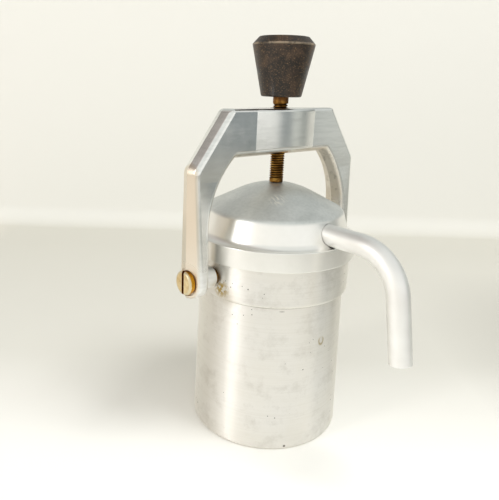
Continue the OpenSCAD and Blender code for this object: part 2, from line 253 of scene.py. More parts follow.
def turnedAluminium():
    material, tree, place = newMaterial("turned_aluminium")
    height = addNode(tree, "SeparateXYZ", links={0: place}).outputs["Z"]
    spots = {name: nearSpot(tree, place, *mark) for name, mark in potMarks.items()}
    rings = addNode(tree, "Mapping", {"Scale": (20, 20, 2000)}, {"Vector": place})  # about 0.5 mm apart
    ringNoise = addNode(tree, "TexNoise", {"Scale": 1, "Detail": 3}, {"Vector": rings})
    clouds = addNode(tree, "TexNoise", {"Scale": 55, "Detail": 5, "Roughness": 0.6},
                     {"Vector": place})  # 18 mm
    tone = addNode(tree, "ValToRGB", {"stops": ((0.30, "f2efe8"), (0.70, "faf8f4"))}, {"Fac": clouds})
    ringTone = addNode(tree, "ValToRGB", {"stops": ((0.30, "d2cec4"), (0.55, "ffffff"))},
                       {"Fac": ringNoise})
    colour = addNode(tree, "Mix", {"data_type": "RGBA", "blend_type": "MULTIPLY", 0: 0.09},
                     {6: tone, 7: ringTone})

    blotches = addNode(tree, "TexNoise", {"Scale": 110, "Detail": 6, "Roughness": 0.7},
                       {"Vector": place})  # 9 mm
    blotch = addNode(tree, "MapRange", {"From Min": 0.50, "From Max": 0.76, "To Max": 0.38},
                     {"Value": blotches})
    cells = addNode(tree, "TexVoronoi", {"Scale": 420}, {"Vector": place})  # one cell each 2.4 mm
    pitSize = addNode(tree, "Math", {"operation": "MULTIPLY", 1: 0.13}, {0: cells.outputs["Color"]})
    pits = addNode(tree, "Math", {"operation": "LESS_THAN"}, {0: cells, 1: pitSize})
    pitArea = addNode(tree, "TexNoise", {"Scale": 45, "Detail": 1}, {"Vector": place})  # 22 mm
    pitSome = addNode(tree, "Math", {"operation": "GREATER_THAN", 1: 0.56}, {0: pitArea})
    pitWhere = addNode(tree, "Math", {"operation": "MAXIMUM"}, {0: pitSome, 1: spots["pitted"]})
    pitShow = addNode(tree, "Math", {"operation": "MULTIPLY"}, {0: pits, 1: pitWhere})
    dark = addNode(tree, "Math", {"operation": "MAXIMUM"}, {0: pitShow, 1: spots["dent"]})

    dropRing = addNode(tree, "Math", {"operation": "SUBTRACT"}, {0: spots["dropOut"], 1: spots["dropIn"]})
    dropLow = addNode(tree, "MapRange", {**fromTo(potFades["drop"]), "To Max": 0.7}, {"Value": height})
    drop = addNode(tree, "Math", {"operation": "MULTIPLY"}, {0: dropRing, 1: dropLow})
    # painted shadow: a dark line on the neck just under the band's lower edge
    bandShadowLine = addNode(tree, "Math", {"operation": "COMPARE", 1: potFades["bandShadowZ"] * mm,
                                      2: potFades["bandShadowHalf"] * mm}, {0: height})
    bandShadow = addNode(tree, "Math", {"operation": "MULTIPLY", 1: 0.6}, {0: bandShadowLine})
    crumbs = addNode(tree, "TexNoise", {"Scale": 700, "Detail": 3}, {"Vector": place})  # about 1.5 mm
    crumbly = addNode(tree, "MapRange", {"From Min": 0.42, "From Max": 0.52}, {"Value": crumbs})
    crust = addNode(tree, "Math", {"operation": "MULTIPLY"}, {0: spots["crust"], 1: crumbly})
    for mark, code in ((blotch, "bcb5a5"), (dark, "5f584e"), (drop, "b0974f"), (bandShadow, "857c6c"),
                       (spots["scratch"], "8a857c"), (spots["stain"], "a08e68"), (crust, "ad914a")):
        colour = addNode(tree, "Mix", {"data_type": "RGBA", 7: code}, {0: mark, 6: colour})

    rough = addNode(tree, "MapRange", {"From Min": 0.3, "From Max": 0.7, "To Min": 0.42, "To Max": 0.50},
                    {"Value": clouds})
    bump = addNode(tree, "Bump", {"Strength": 0.03, "Distance": 0.02 * mm}, {"Height": ringNoise})
    raised = addNode(tree, "Bump", {"Strength": 0.6, "Distance": 0.2 * mm},
                     {"Height": crust, "Normal": bump})
    metal = addNode(tree, "Math", {"operation": "SUBTRACT", 0: 1.0}, {1: crust})
    lathe = addNode(tree, "Tangent", {"direction_type": "RADIAL", "axis": "Z"})
    finishMaterial(tree, {"Anisotropic": 0.9, "Anisotropic Rotation": 0.25},
                   {"Base Color": colour, "Roughness": rough, "Normal": raised, "Metallic": metal,
                    "Tangent": lathe})
    return material


# Spun aluminium: matte and finely mottled on the dome, polished on the side and the flange, pale scuffs
# near the top
lidMarks = {"shoulder": (98.8, 99.6), "scuff": ((-11.3, -12.8, 106.0), 1, 4.5)}


def spunAluminium():
    material, tree, place = newMaterial("spun_aluminium")
    height = addNode(tree, "SeparateXYZ", links={0: place}).outputs["Z"]
    clouds = addNode(tree, "TexNoise", {"Scale": 70, "Detail": 6, "Roughness": 0.62},
                     {"Vector": place})  # 14 mm
    matte = addNode(tree, "MapRange", fromTo(lidMarks["shoulder"]), {"Value": height})
    dull = addNode(tree, "ValToRGB", {"stops": ((0.32, "d3d6d4"), (0.68, "e9ebe9"))}, {"Fac": clouds})
    mottle = addNode(tree, "TexNoise", {"Scale": 800, "Detail": 4}, {"Vector": place})  # about 1.2 mm
    mottleTone = addNode(tree, "ValToRGB", {"stops": ((0.35, "c4c6c4"), (0.6, "ffffff"))}, {"Fac": mottle})
    dull = addNode(tree, "Mix", {"data_type": "RGBA", "blend_type": "MULTIPLY", 0: 0.14},
                   {6: dull, 7: mottleTone})
    bright = addNode(tree, "ValToRGB", {"stops": ((0.30, "f2f1ed"), (0.70, "faf9f6"))}, {"Fac": clouds})
    colour = addNode(tree, "Mix", {"data_type": "RGBA"}, {0: matte, 6: bright, 7: dull})
    scratches = addNode(tree, "Mapping", {"Scale": (1500, 350, 350), "Rotation": (0, 0, 0.6)},
                        {"Vector": place})  # about 0.7 mm wide
    lines = addNode(tree, "TexNoise", {"Scale": 1, "Detail": 2}, {"Vector": scratches})
    lineShow = addNode(tree, "MapRange", {"From Min": 0.50, "From Max": 0.58}, {"Value": lines})
    scuffSpot = nearSpot(tree, place, *lidMarks["scuff"])
    scuff = addNode(tree, "Math", {"operation": "MULTIPLY"}, {0: scuffSpot, 1: lineShow})
    colour = addNode(tree, "Mix", {"data_type": "RGBA", 7: "fbfaf4"}, {0: scuff, 6: colour})
    rough = addNode(tree, "MapRange", {"To Min": 0.30, "To Max": 0.50}, {"Value": matte})
    rings = addNode(tree, "Mapping", {"Scale": (50, 50, 1500)}, {"Vector": place})  # about 0.7 mm apart
    ringNoise = addNode(tree, "TexNoise", {"Scale": 1, "Detail": 3}, {"Vector": rings})
    bump = addNode(tree, "Bump", {"Strength": 0.12, "Distance": 0.02 * mm}, {"Height": ringNoise})
    finishMaterial(tree, {"Metallic": 1.0}, {"Base Color": colour, "Roughness": rough, "Normal": bump})
    return material


# Drawn aluminium tube: bright soft satin
def drawnAluminium():
    material, tree, place = newMaterial("drawn_aluminium")
    clouds = addNode(tree, "TexNoise", {"Scale": 120, "Detail": 4}, {"Vector": place})  # about 8 mm
    colour = addNode(tree, "ValToRGB", {"stops": ((0.3, "f5f4f2"), (0.7, "fbfbf9"))}, {"Fac": clouds})
    rough = addNode(tree, "MapRange", {"From Min": 0.3, "From Max": 0.7, "To Min": 0.44, "To Max": 0.52},
                    {"Value": clouds})
    finishMaterial(tree, {"Metallic": 1.0}, {"Base Color": colour, "Roughness": rough})
    return material


# Polished aluminium casting: soft mirror with fine polishing lines, and a painted warm reflection on the
# legs' outside faces; rougher, browner and grimy in the window, the browner tone partly painted shade
yokeMarks = {  # where one finish goes over into another, from the edge that it follows
    "warmReflection": (-0.9, 0.1), "window": (0.9, 0.2), "legs": (-4, 8), "behind": (0, 0.4), "hub": (0.2, -0.2),
    "pivot": (11, 7),
}


def polishedCasting():
    material, tree, place = newMaterial("polished_casting")
    parts = addNode(tree, "SeparateXYZ", links={0: place}).outputs
    clouds = addNode(tree, "TexNoise", {"Scale": 80, "Detail": 5, "Roughness": 0.6},
                     {"Vector": place})  # 12 mm
    polished = addNode(tree, "ValToRGB", {"stops": ((0.3, "e8e9e7"), (0.7, "f4f4f2"))}, {"Fac": clouds})
    strokes = addNode(tree, "Mapping", {"Scale": (90, 90, 900), "Rotation": (0, -0.45, 0)},
                      {"Vector": place})  # about 1 mm wide
    strokeNoise = addNode(tree, "TexNoise", {"Scale": 1, "Detail": 4}, {"Vector": strokes})
    strokeTone = addNode(tree, "ValToRGB", {"stops": ((0.35, "b9bbba"), (0.58, "ffffff"))},
                         {"Fac": strokeNoise})
    polished = addNode(tree, "Mix", {"data_type": "RGBA", "blend_type": "MULTIPLY", 0: 0.13},
                       {6: polished, 7: strokeTone})
    across = addNode(tree, "Math", {"operation": "ABSOLUTE"}, {0: parts["X"]})
    # painted warm reflection on the legs' outside faces
    warmReflection = addNode(tree, "MapRange", fromTo(yokeMarks["warmReflection"], yokeHigh.x), {"Value": across})
    polished = addNode(tree, "Mix", {"data_type": "RGBA", 7: "e2d8c9"}, {0: warmReflection, 6: polished})
    # in the window's upper part and on its back half: rougher, with a browner tone and grime spots; the
    # browner tone is partly painted shade
    dull = addNode(tree, "ValToRGB", {"stops": ((0.3, "d3cabb"), (0.7, "e6e0d6"))}, {"Fac": clouds})
    grime = addNode(tree, "TexNoise", {"Scale": 350, "Detail": 4, "Roughness": 0.65},
                    {"Vector": place})  # 3 mm
    grimeAndShade = addNode(tree, "MapRange", {"From Min": 0.55, "From Max": 0.70, "To Max": 0.4},
                        {"Value": grime})
    dull = addNode(tree, "Mix", {"data_type": "RGBA", 7: "6f6456"}, {0: grimeAndShade, 6: dull})

    rise = addNode(tree, "Math", {"operation": "SUBTRACT", 1: yoke["archZ"] * mm}, {0: parts["Z"]})
    lift = addNode(tree, "Math", {"operation": "MAXIMUM", 1: 0.0}, {0: rise})
    flat = addNode(tree, "CombineXYZ", links={"X": parts["X"], "Z": lift})
    reach = addNode(tree, "VectorMath", {"operation": "LENGTH"}, {0: flat})
    arch = addNode(tree, "MapRange", fromTo(yokeMarks["window"], yoke["legIn"]), {"Value": reach})
    below = addNode(tree, "MapRange", fromTo(yokeMarks["window"], yoke["windowZ"]), {"Value": parts["Z"]})
    above = addNode(tree, "MapRange", fromTo(yokeMarks["legs"], yoke["archZ"]), {"Value": parts["Z"]})
    behind = addNode(tree, "MapRange", fromTo(yokeMarks["behind"]), {"Value": parts["Y"]})
    window = addNode(tree, "Math", {"operation": "MULTIPLY"}, {0: arch, 1: below})
    where = addNode(tree, "Math", {"operation": "MAXIMUM"}, {0: above, 1: behind})
    inside = addNode(tree, "Math", {"operation": "MULTIPLY"}, {0: window, 1: where})
    colour = addNode(tree, "Mix", {"data_type": "RGBA"}, {0: inside, 6: polished, 7: dull})

    rough = addNode(tree, "MapRange", {"From Min": 0.3, "From Max": 0.7, "To Min": 0.16, "To Max": 0.24},
                    {"Value": clouds})
    hubRough = addNode(tree, "MapRange", {**fromTo(yokeMarks["hub"], yoke["hubHalf"]), "To Max": 0.24},
                       {"Value": across})
    insideRough = addNode(tree, "Math", {"operation": "MULTIPLY", 1: 0.42}, {0: inside})
    pivot = addNode(tree, "CombineXYZ", {"X": 0.0}, {"Y": parts["Y"], "Z": parts["Z"]})
    pivotAway = addNode(tree, "VectorMath", {"operation": "DISTANCE", 1: (0, 0, pivotZ * mm)}, {0: pivot})
    pivotRough = addNode(tree, "MapRange", {**fromTo(yokeMarks["pivot"]), "To Max": 0.45},
                         {"Value": pivotAway})
    worn = rough
    for part in (hubRough, insideRough, pivotRough):
        worn = addNode(tree, "Math", {"operation": "MAXIMUM"}, {0: worn, 1: part})
    grain = addNode(tree, "TexNoise", {"Scale": 900, "Detail": 2}, {"Vector": place})  # about 1 mm
    bump = addNode(tree, "Bump", {"Strength": 0.22, "Distance": 0.03 * mm}, {"Height": grain})
    finishMaterial(tree, {"Metallic": 1.0}, {"Base Color": colour, "Roughness": worn, "Normal": bump})
    return material


# Tarnished brass: orange where it is rubbed, dark brown in the grooves where dirt stays, and darker towards
# the top of the collar
brassMarks = {"groove": (2.95, 2.6), "collar": (143.4, 145.2)}


def tarnishedBrass():
    material, tree, place = newMaterial("tarnished_brass")
    patches = addNode(tree, "TexNoise", {"Scale": 240, "Detail": 5, "Roughness": 0.65},
                      {"Vector": place})  # 4 mm
    colour = addNode(tree, "ValToRGB", {"stops": ((0.36, "4d3314"), (0.52, "93692f"), (0.66, "cda353"))},
                     {"Fac": patches})
    flat = addNode(tree, "VectorMath", {"operation": "MULTIPLY", 1: (1, 1, 0)}, {0: place})
    reach = addNode(tree, "VectorMath", {"operation": "LENGTH"}, {0: flat})
    groove = addNode(tree, "MapRange", {**fromTo(brassMarks["groove"]), "To Max": 0.9}, {"Value": reach})
    colour = addNode(tree, "Mix", {"data_type": "RGBA", 7: "2e1c0b"}, {0: groove, 6: colour})
    height = addNode(tree, "SeparateXYZ", links={0: place}).outputs["Z"]
    # darker towards the top of the collar, just under the knob
    collar = addNode(tree, "MapRange", {**fromTo(brassMarks["collar"]), "To Max": 0.75}, {"Value": height})
    colour = addNode(tree, "Mix", {"data_type": "RGBA", 7: "6a4428"}, {0: collar, 6: colour})
    rough = addNode(tree, "MapRange", {"From Min": 0.3, "From Max": 0.7, "To Min": 0.55, "To Max": 0.36},
                    {"Value": patches})
    finishMaterial(tree, {"Metallic": 1.0}, {"Base Color": colour, "Roughness": rough})
    return material


# Worn brass: pale tan on the screws' faces with a painted highlight round the edge, golden sides, dark
# brown in the slot and just under the head
screwMarks = {
    "face": (-0.9, -0.6), "rim": (-1.3, -1.0), "inner": 40, "slotSpare": 0.03, "under": (0.1, 0.25),
}


def wornBrass():
    material, tree, place = newMaterial("worn_brass")
    patches = addNode(tree, "TexNoise", {"Scale": 320, "Detail": 5, "Roughness": 0.6},
                      {"Vector": place})  # 3 mm
    gold = addNode(tree, "ValToRGB", {"stops": ((0.32, "c0861f"), (0.65, "e8b23c"))}, {"Fac": patches})
    tan = addNode(tree, "ValToRGB", {"stops": ((0.32, "d2b582"), (0.65, "efdcb0"))}, {"Fac": patches})
    parts = addNode(tree, "SeparateXYZ", links={0: place}).outputs
    out = addNode(tree, "Math", {"operation": "ABSOLUTE"}, {0: parts["X"]})
    across = addNode(tree, "Math", {"operation": "ABSOLUTE"}, {0: parts["Y"]})
    face = addNode(tree, "MapRange", fromTo(screwMarks["face"], screwHigh.x), {"Value": out})
    colour = addNode(tree, "Mix", {"data_type": "RGBA"}, {0: face, 6: gold, 7: tan})
    flat = addNode(tree, "CombineXYZ", {"X": 0.0}, {"Y": parts["Y"], "Z": parts["Z"]})
    reach = addNode(tree, "VectorMath", {"operation": "DISTANCE", 1: (0, 0, pivotZ * mm)}, {0: flat})
    # painted highlight: a pale ring on the rounded edge of the head's face
    rim = addNode(tree, "MapRange", fromTo(screwMarks["rim"], screw["headR"]), {"Value": reach})
    rubbedAndHighlight = addNode(tree, "Math", {"operation": "MULTIPLY"}, {0: rim, 1: face})
    inner = addNode(tree, "Math", {"operation": "LESS_THAN", 1: screwMarks["inner"] * mm}, {0: out})
    slotHalf = (screw["slotWide"] / 2 + screwMarks["slotSpare"]) * mm
    slotWide = addNode(tree, "Math", {"operation": "LESS_THAN", 1: slotHalf}, {0: across})
    head = addNode(tree, "Math", {"operation": "GREATER_THAN", 1: screw["headIn"] * mm}, {0: out})
    slot = addNode(tree, "Math", {"operation": "MULTIPLY"}, {0: slotWide, 1: head})
    underUp, underHalf = screwMarks["under"]
    under = addNode(tree, "Math", {"operation": "COMPARE", 1: (screw["headIn"] + underUp) * mm,
                                   2: underHalf * mm}, {0: out})
    # dark brown in the slot and in a thin band just under the head
    slotAndUnderDark = addNode(tree, "Math", {"operation": "MAXIMUM"}, {0: slot, 1: under})
    for mark, code in ((rubbedAndHighlight, "dccfae"), (inner, "7d5a26"), (slotAndUnderDark, "85562a")):
        colour = addNode(tree, "Mix", {"data_type": "RGBA", 7: code}, {0: mark, 6: colour})
    rough = addNode(tree, "MapRange", {"From Min": 0.3, "From Max": 0.7, "To Min": 0.48, "To Max": 0.30},
                    {"Value": patches})
    finishMaterial(tree, {"Metallic": 1.0}, {"Base Color": colour, "Roughness": rough})
    return material


# Moulded phenolic plastic, worn: dark brown with a greyer mottle, fine tan specks and a rubbed rim
def mouldedPhenolic():
    material, tree, place = newMaterial("moulded_phenolic")
    mottle = addNode(tree, "TexNoise", {"Scale": 150, "Detail": 6, "Roughness": 0.7},
                     {"Vector": place})  # 7 mm
    colour = addNode(tree, "ValToRGB", {"stops": ((0.36, "0b0705"), (0.52, "24190f"), (0.66, "4a3727"))},
                     {"Fac": mottle})
    specks = addNode(tree, "TexNoise", {"Scale": 2200, "Detail": 3}, {"Vector": place})  # about 0.5 mm
    speckle = addNode(tree, "MapRange", {"From Min": 0.57, "From Max": 0.68, "To Max": 0.6},
                      {"Value": specks})
    height = addNode(tree, "SeparateXYZ", links={0: place}).outputs["Z"]
    rimZ = knobLow.z + knob["rimUp"]
    rim = addNode(tree, "Math", {"operation": "COMPARE", 1: rimZ * mm, 2: knob["rubbedAndHighlight"] * mm}, {0: height})
    patchy = addNode(tree, "MapRange", {"From Min": 0.40, "From Max": 0.58, "To Max": 0.6},
                     {"Value": mottle})
    rubbedAndHighlight = addNode(tree, "Math", {"operation": "MULTIPLY"}, {0: rim, 1: patchy})
    for mark, code in ((speckle, "8a6c4c"), (rubbedAndHighlight, "a8977f")):
        colour = addNode(tree, "Mix", {"data_type": "RGBA", 7: code}, {0: mark, 6: colour})
    rough = addNode(tree, "MapRange", {"From Min": 0.35, "From Max": 0.65, "To Min": 0.30, "To Max": 0.48},
                    {"Value": mottle})
    bump = addNode(tree, "Bump", {"Strength": 0.6, "Distance": 0.05 * mm}, {"Height": specks})
    finishMaterial(tree, {}, {"Base Color": colour, "Roughness": rough, "Normal": bump})
    return material


# Old rubber: dull dark grey with a dusty bloom
def oldRubber():
    material, tree, place = newMaterial("old_rubber")
    bloom = addNode(tree, "TexNoise", {"Scale": 200, "Detail": 4}, {"Vector": place})  # about 5 mm
    colour = addNode(tree, "ValToRGB", {"stops": ((0.3, "3a3633"), (0.7, "5b5650"))}, {"Fac": bloom})
    finishMaterial(tree, {"Roughness": 0.8}, {"Base Color": colour})
    return material


potMetal = turnedAluminium()
lidMetal = spunAluminium()
tubeMetal = drawnAluminium()
brass = tarnishedBrass()
rubber = oldRubber()
print("materials made")

# Pot: base, tapered body, thick band and the rim that enters the lid, hollow inside
pot = {
    "baseR": 33.6, "baseRound": 1.2, "baseRing": 8.0, "neckR": 32.0, "bodyTop": 65.3, "bandTop": 80.9,
    "bandRound": 1.6, "bandEdge": 0.45, "nook": 0.15, "rimR": 32.2, "rimEdge": 0.3, "wall": 2.4,
    "floor": 3.0, "floorRound": 2.4, "throatR": 28.4, "throatEdge": 0.2, "innerEdge": 0.4, "seatR": 30.6,
    "seatZ": 83.6, "seatNook": 0.1, "flatR": 3.75, "flatX": 33.5, "flatSteps": 48, "holeR": 2.02,
    "holeIn": 30.0, "holeSteps": 32, "cutOut": 40.0, "steps": 192,
}
potHigh = boxOf("boiler_pot")[1]


def makePot():
    bandR, rimTop = potHigh.x, potHigh.z
    cavityR = pot["neckR"] - pot["wall"]
    corners = [
        (0, 0), (pot["baseR"] - pot["baseRing"], 0), (pot["baseR"], 0, pot["baseRound"]),
        (pot["neckR"], pot["bodyTop"], pot["nook"]), (bandR, pot["bodyTop"], pot["bandRound"]),
        (bandR, pot["bandTop"], pot["bandEdge"]), (pot["rimR"], pot["bandTop"], pot["nook"]),
        (pot["rimR"], rimTop, pot["rimEdge"]), (pot["seatR"], rimTop, pot["rimEdge"]),
        (pot["seatR"], pot["seatZ"], pot["seatNook"]), (pot["throatR"], pot["seatZ"], pot["throatEdge"]),
        (pot["throatR"], pot["bodyTop"], pot["innerEdge"]),
        (cavityR, pot["bodyTop"] - 2 * pot["wall"], pot["innerEdge"]),
        (cavityR, pot["floor"], pot["floorRound"]), (0, pot["floor"]),
    ]
    piece = turnPiece("pot_shell", corners, pot["steps"])
    for side in (-1, 1):  # a flat under the washer, and the screw's hole
        drill(piece, pot["flatR"], pot["flatX"], pot["cutOut"], pot["flatSteps"], "X", side)
        drill(piece, pot["holeR"], pot["holeIn"], pot["cutOut"], pot["holeSteps"], "X", side)
    smoothOff(piece)
    handOver(piece, "boiler_pot", "pot", potMetal)


makePot()

# Lid: a round top, a straight slope, a shoulder, a leaning side, a hollow and a flange; the spout's hole
lid = {
    "domeR": 36.0, "slope": 27.0, "sideTopR": 29.6, "shoulderR": 3.5, "sideR": 32.7, "hollowR": 3.0,
    "flangeTop": 89.3, "edge": 0.35, "wall": 2.4, "recessR": 32.45, "recessTop": 87.6, "innerEdge": 0.2,
    "chamberR": 28.2, "chamberRound": 0.8, "domeSteps": 20, "innerSteps": 12, "steps": 192,
}
lidLow, lidHigh = boxOf("lid_dome")
spout = {
    "r": 4.3, "bore": 3.3, "z": 93.9, "root": 25.7, "bendStart": 46.0, "bendR": 18.5, "bend": 80.0,
    "endZ": 54.0, "joint": 0.15, "holeDeep": 20.0, "lip": 0.25, "lipSteps": 3, "lipAngle": 50, "sides": 64,
    "straightSteps": 4, "bendSteps": 28, "endSteps": 6,
}


def slopeHeight(radius, inset):  # height of the straight slope at a radius
    slope = math.radians(lid["slope"])
    return pivotZ + (lid["domeR"] - inset - radius * math.sin(slope)) / math.cos(slope)


def makeLid():
    outside = arcPoints((0, pivotZ), lid["domeR"], 90, 90 - lid["slope"], lid["domeSteps"])
    inside = arcPoints((0, pivotZ), lid["domeR"] - lid["wall"], 90 - lid["slope"], 90, lid["innerSteps"])
    corners = [(0, lidHigh.z)] + outside[1:] + [
        (lid["sideTopR"], slopeHeight(lid["sideTopR"], 0), lid["shoulderR"]),
        (lid["sideR"], lid["flangeTop"], lid["hollowR"]),
        (lidHigh.x, lid["flangeTop"], lid["edge"]), (lidHigh.x, lidLow.z, lid["edge"]),
        (lid["recessR"], lidLow.z, lid["innerEdge"]), (lid["recessR"], lid["recessTop"], lid["innerEdge"]),
        (lid["chamberR"], lid["recessTop"], lid["innerEdge"]),
        (lid["chamberR"], slopeHeight(lid["chamberR"], lid["wall"]), lid["chamberRound"]),
    ] + inside[:-1] + [(0, pivotZ + lid["domeR"] - lid["wall"])]
    piece = turnPiece("lid_shell", corners, lid["steps"])
    holeR, holeDeep = spout["r"] + spout["joint"], spout["holeDeep"]
    bpy.ops.object.select_all(action="DESELECT")
    bpy.ops.mesh.primitive_cylinder_add(
        vertices=spout["sides"], radius=holeR * mm, depth=holeDeep * mm,
        location=(0, -(spout["root"] + holeDeep / 2) * mm, spout["z"] * mm), rotation=(math.pi / 2, 0, 0))
    carve(piece, bpy.context.object)
    smoothOff(piece)
    handOver(piece, "lid_dome", "lid", lidMetal)


makeLid()

# Spout: a round tube that leaves the lid's side, bends down and ends in an open mouth
def makeSpout():
    bpy.ops.object.select_all(action="DESELECT")
    bpy.ops.mesh.primitive_circle_add(
        vertices=spout["sides"], radius=spout["r"] * mm, fill_type="NOTHING",
        location=(0, -spout["root"] * mm, spout["z"] * mm), rotation=(math.pi / 2, 0, 0))
    piece = bpy.context.object
    piece.name = "spout_pipe"
    piece.data.name = "spout_pipe"
    bpy.ops.object.transform_apply(location=True, rotation=True, scale=True)
    bpy.ops.object.mode_set(mode="EDIT")
    bpy.ops.mesh.select_all(action="SELECT")
    step = (spout["bendStart"] - spout["root"]) / spout["straightSteps"]
    for k in range(spout["straightSteps"]):
        bpy.ops.mesh.extrude_edges_move(TRANSFORM_OT_translate={"value": (0, -step * mm, 0)})
    bend = math.radians(spout["bend"])
    bendZ = spout["z"] - spout["bendR"]
    bpy.ops.mesh.spin(steps=spout["bendSteps"], angle=-bend,
                      center=(0, -spout["bendStart"] * mm, bendZ * mm), axis=(1, 0, 0))
    run = (bendZ + spout["bendR"] * math.cos(bend) - spout["endZ"]) / math.sin(bend)
    step = Vector((0, -math.cos(bend), -math.sin(bend))) * (run / spout["endSteps"] * mm)
    for k in range(spout["endSteps"]):
        bpy.ops.mesh.extrude_edges_move(TRANSFORM_OT_translate={"value": step})
    closeUp()
    applyModifier(piece, "SOLIDIFY", thickness=(spout["r"] - spout["bore"]) * mm, offset=-1)
    softenEdges(piece, spout["lip"], spout["lipSteps"], spout["lipAngle"])
    smoothOff(piece)
    handOver(piece, "spout_tube", "lid", tubeMetal)


makeSpout()

# Yoke: two tapered legs, sloping shoulders and a crossbar that thickens round the spindle; as cast in two
# half moulds, its sides rise to a ridge along the middle
yoke = {
    "legIn": 40.4, "legEnd": 6.9, "legWidth": 9.0, "barHalf": 28.9, "shoulderUp": 44.3, "leanUp": 40.3,
    "windowZ": 124.0, "archZ": 93.86, "hubHalf": 17.0, "ridge": 1.6, "ridgeHalf": 5.0, "ridgeDeep": 8.0,
    "edge": 1.6, "edgeSteps": 8, "edgeAngle": 50, "shoulderRound": 4.0, "windowRound": 0.6,
    "windowArc": 3.0, "bossR": 4.6, "bossEnd": 34.9, "bossEdge": 0.6, "pivotBore": 2.55, "boreIn": 30.0,
    "boreOut": 60.0, "bushBore": 4.02, "seatR": 5.6, "spare": 6.0, "cut": 5.0, "flatAngle": 0.3,
    "shadeAngle": 14, "roundSteps": 8, "arcSteps": 20, "endSteps": 32, "hubSteps": 40, "steps": 64,
    "boreSteps": 48,
}
yokeLow, yokeHigh = boxOf("yoke")
yokeMetal = polishedCasting()


def yokeOutline():  # seen from the front, at the ridge
    ridge = yoke["ridge"]
    legOut, top = yokeHigh.x, yokeHigh.z
    shoulderZ, low = pivotZ + yoke["shoulderUp"], yokeLow.z - yoke["spare"]
    tilt = math.atan2(legOut - yoke["barHalf"], top - shoulderZ)  # of the sloping shoulder's face
    shoulder = (legOut + ridge, shoulderZ + ridge * math.tan(tilt / 2), yoke["shoulderRound"] + ridge)
    cornerX = yoke["barHalf"] + ridge * math.tan(math.pi / 4 - tilt / 2) - yoke["spare"] * math.tan(tilt)
    corner = (cornerX, top + ridge + yoke["spare"])  # the top is cut flat later
    legIn, windowZ = yoke["legIn"] - ridge, yoke["windowZ"] - ridge
    windowHalf = math.sqrt(legIn ** 2 - (windowZ - yoke["archZ"]) ** 2)
    window = (windowHalf, windowZ, yoke["windowRound"])
    lift = math.degrees(math.acos(windowHalf / legIn)) - yoke["windowArc"]  # the corner takes the last part
    right = [(legIn, low), (legOut + ridge, low), shoulder, corner]
    mirrored = [(-spot[0], *spot[1:]) for spot in reversed(right)]
    centre, steps = (0, yoke["archZ"]), yoke["arcSteps"]
    corners = right + mirrored + arcPoints(centre, legIn, 180, 180 - lift, steps)
    corners += [(-window[0], *window[1:]), window] + arcPoints(centre, legIn, lift, 0, steps)
    return roundCorners(corners, yoke["roundSteps"])


def makeYoke():
    legOut, top, hubWidth = yokeHigh.x, yokeHigh.z, 2 * yokeHigh.y
    windowZ, leanZ = yoke["windowZ"], pivotZ + yoke["leanUp"]
    piece = drawOutline("yoke_casting", [(x, 0, z) for x, z in yokeOutline()])
    bpy.ops.mesh.select_all(action="SELECT")
    bpy.ops.mesh.edge_face_add()
    bpy.ops.mesh.remove_doubles(threshold=weld)
    draft = yoke["ridge"] / yoke["ridgeHalf"] * yoke["ridgeDeep"]
    bpy.ops.mesh.inset(thickness=draft * mm, depth=yoke["ridgeDeep"] * mm, use_even_offset=True)
    bpy.ops.object.mode_set(mode="OBJECT")
    applyModifier(piece, "MIRROR", use_axis=(False, True, False), merge_threshold=10 * weld)
    bpy.ops.object.mode_set(mode="EDIT")
    closeUp()

    half = yoke["legWidth"] / 2
    lean = math.degrees(math.asin((yoke["legEnd"] - half) / yoke["leanUp"]))
    side = [(half, leanZ), (half, top), (-half, top), (-half, leanZ)]
    side += arcPoints((0, pivotZ), yoke["legEnd"], 180 - lean, 360 + lean, yoke["endSteps"])
    wide = legOut + yoke["spare"]
    body = pushOut("side", [(-wide, y, z) for y, z in side], (2 * wide, 0, 0))

    rise = hubWidth / 2 - half
    hubR = (yoke["hubHalf"] ** 2 + rise ** 2) / (2 * rise)
    reach = math.degrees(math.acos((hubR - hubWidth / 2) / hubR))
    plan = arcPoints((0, hubWidth / 2 - hubR), hubR, 90 - reach, 90 + reach, yoke["hubSteps"])
    plan += arcPoints((0, hubR - hubWidth / 2), hubR, 270 - reach, 270 + reach, yoke["hubSteps"])[1:-1]
    hubLow = windowZ - yoke["spare"]
    hub = pushOut("hub", [(x, y, hubLow) for x, y in plan], (0, 0, top - hubLow))
    carve(body, hub, "UNION")
    carve(piece, body, "INTERSECT")

    bpy.ops.object.mode_set(mode="EDIT")
    bpy.ops.mesh.select_all(action="SELECT")
    bpy.ops.mesh.dissolve_limited(angle_limit=math.radians(yoke["flatAngle"]))
    closeUp()
    softenEdges(piece, yoke["edge"], yoke["edgeSteps"], yoke["edgeAngle"])

    legMiddle = (yoke["legIn"] + legOut) / 2
    for way in (-1, 1):
        drill(piece, yoke["seatR"], legOut, wide, yoke["steps"], "X", way)  # flat under the screw's head
        boss = turnPiece("boss", [(0, yoke["bossEnd"]), (yoke["bossR"], yoke["bossEnd"], yoke["bossEdge"]),
                                  (yoke["bossR"], legMiddle), (0, legMiddle)], yoke["steps"], "X", way)
        carve(piece, boss, "UNION")
        drill(piece, yoke["pivotBore"], yoke["boreIn"], yoke["boreOut"], yoke["boreSteps"], "X", way)
    drill(piece, yoke["seatR"], windowZ - yoke["cut"], windowZ, yoke["steps"])  # flat under the bush's lip
    drill(piece, yoke["bushBore"], windowZ - yoke["cut"], top + yoke["cut"], yoke["steps"])
    smoothOff(piece, yoke["shadeAngle"])
    handOver(piece, "yoke", "yoke", yokeMetal)


makeYoke()

# Bush: brass sleeve in the crossbar, its lip shows underneath
bush = {
    "r": 4.0, "lipR": 4.4, "lipH": 0.7, "bore": 3.05, "lipEdge": 0.2, "lipBack": 0.1, "nook": 0.05,
    "edge": 0.15, "steps": 72,
}
bushLow, bushHigh = boxOf("yoke_bush")


